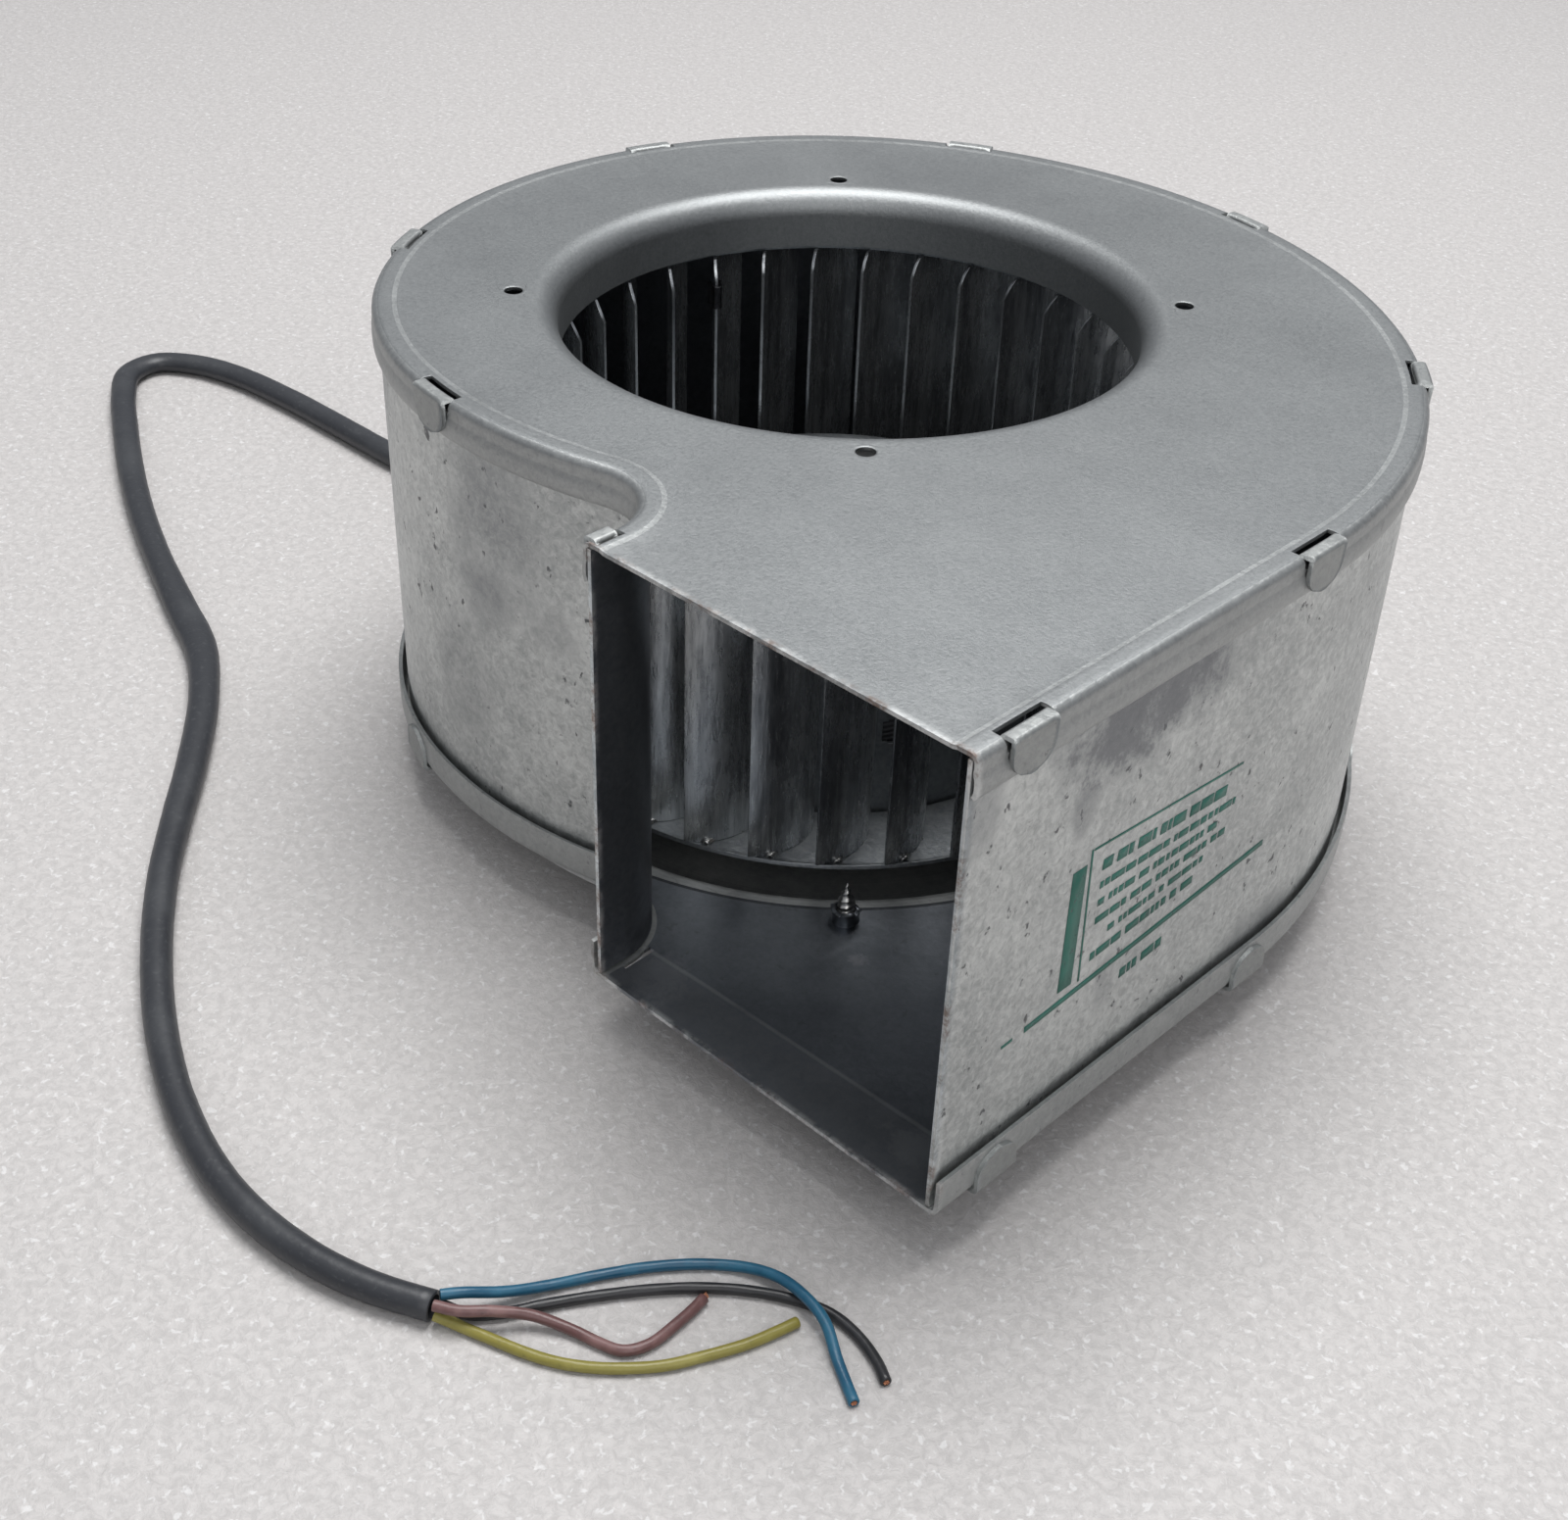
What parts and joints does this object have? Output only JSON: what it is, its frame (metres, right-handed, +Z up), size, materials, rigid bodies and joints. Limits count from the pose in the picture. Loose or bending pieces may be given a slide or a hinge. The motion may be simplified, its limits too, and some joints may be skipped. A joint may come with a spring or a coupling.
{
  "type": "centrifugal blower",
  "caption": "Single-inlet centrifugal blower: folded sheet-metal scroll housing, forward-curved impeller on an external-rotor motor, and a sleeved lead with bare cores.",
  "frame": {"origin": "middle of the housing's footprint, on the surface that the motor plate's pan rests on", "axes": "+Z up along the fan axis towards the inlet, -Y out of the air outlet, +X out of the flat side of the scroll"},
  "size_m": [0.3423, 0.2428, 0.0896],
  "materials": {
    "galvanised": "spangled zinc, satin",
    "galvanised_dark": "zinc-coated, darker inside",
    "bright_steel": "bright",
    "cast_aluminium": "die cast, matt",
    "lamination": "stacked laminations",
    "copper_winding": "varnished copper wire",
    "nylon": "natural nylon",
    "rubber": "matt",
    "sleeving": "satin PVC",
    "core_blue": "satin PVC",
    "core_black": "satin PVC",
    "core_brown": "satin PVC",
    "core_earth": "satin PVC",
    "print": "screen print"
  },
  "bodies": {
    "housing": {"inlet_plate": "galvanised", "scroll_band": "galvanised", "back_plate": "galvanised", "motor_plate": "galvanised", "bearing_lower_ball_cage": "bright_steel", "bearing_lower_outer_ring": "bright_steel", "bearing_upper_ball_cage": "bright_steel", "bearing_upper_outer_ring": "bright_steel", "cable_grommet": "rubber", "cable_sleeve": "sleeving", "core_black": "core_black", "core_blue": "core_blue", "core_brown": "core_brown", "core_earth": "core_earth", "flange_screw_1": "bright_steel", "flange_screw_2": "bright_steel", "flange_screw_3": "bright_steel", "flange_screw_4": "bright_steel", "insulator_lower": "nylon", "insulator_upper": "nylon", "main_coil_1": "copper_winding", "main_coil_2": "copper_winding", "plate_screw_1": "bright_steel", "plate_screw_2": "bright_steel", "plate_screw_3": "bright_steel", "plate_screw_4": "bright_steel", "start_coil_1": "copper_winding", "start_coil_2": "copper_winding", "stator_core": "lamination", "stator_flange": "cast_aluminium", "thermal_cutout": "nylon"},
    "rotor": {"balance_clip": "bright_steel", "bearing_lower_inner_ring": "bright_steel", "bearing_upper_inner_ring": "bright_steel", "disc_rivet_1": "bright_steel", "disc_rivet_2": "bright_steel", "disc_rivet_3": "bright_steel", "disc_rivet_4": "bright_steel", "impeller_blades": "galvanised_dark", "impeller_disc": "galvanised_dark", "impeller_front_ring": "galvanised_dark", "preload_washer": "bright_steel", "rotor_core": "lamination", "rotor_cup": "galvanised_dark", "rotor_ring_lower": "cast_aluminium", "rotor_ring_upper": "cast_aluminium", "shaft": "bright_steel", "shaft_circlip": "bright_steel"}
  },
  "joints": [
    {"name": "impeller_spin", "type": "hinge", "parent": "housing", "child": "rotor", "pos_m": [-0.01108, 0.00137, 0.043], "axis": [0, 0, 1], "continuous": true}
  ]
}
